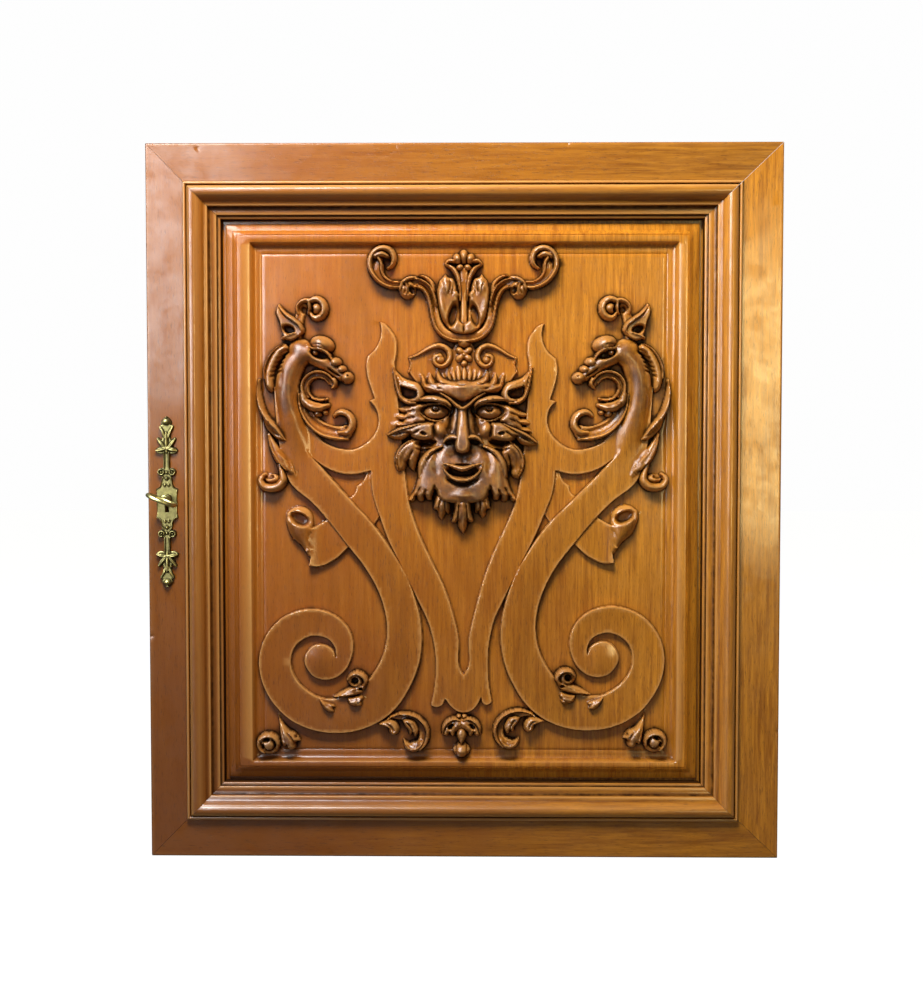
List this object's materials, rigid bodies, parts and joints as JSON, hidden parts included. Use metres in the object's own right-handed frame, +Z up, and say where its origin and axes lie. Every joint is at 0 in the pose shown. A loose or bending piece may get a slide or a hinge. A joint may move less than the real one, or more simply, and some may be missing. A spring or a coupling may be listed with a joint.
{
  "type": "carved door panel with mascaron",
  "caption": "Framed walnut cabinet door whose sunk field holds a leafy grotesque mask, beasts and scrolled strapwork, with a brass escutcheon and key.",
  "frame": {"origin": "middle of the right-hand stile's outer edge, where the door hangs, half way through its thickness", "axes": "+Z up the door, -Y out of its carved front, +X towards the side that it hangs on"},
  "size_m": [0.566, 0.064, 0.64],
  "materials": {
    "carved_walnut": "waxed and worn, dark wax in the hollows",
    "stile_walnut": "waxed, grain upright",
    "rail_walnut": "waxed, grain across",
    "aged_brass": "aged, dark in the hollows",
    "key_brass": "rubbed bright by use"
  },
  "bodies": {
    "root": {"frame_stile_left": "stile_walnut", "frame_stile_right": "stile_walnut", "frame_rail_top": "rail_walnut", "frame_rail_bottom": "rail_walnut", "moulding_left": "stile_walnut", "moulding_right": "stile_walnut", "moulding_top": "rail_walnut", "moulding_bottom": "rail_walnut", "carved_panel": "carved_walnut", "escutcheon": "aged_brass", "key": "key_brass"}
  },
  "joints": []
}
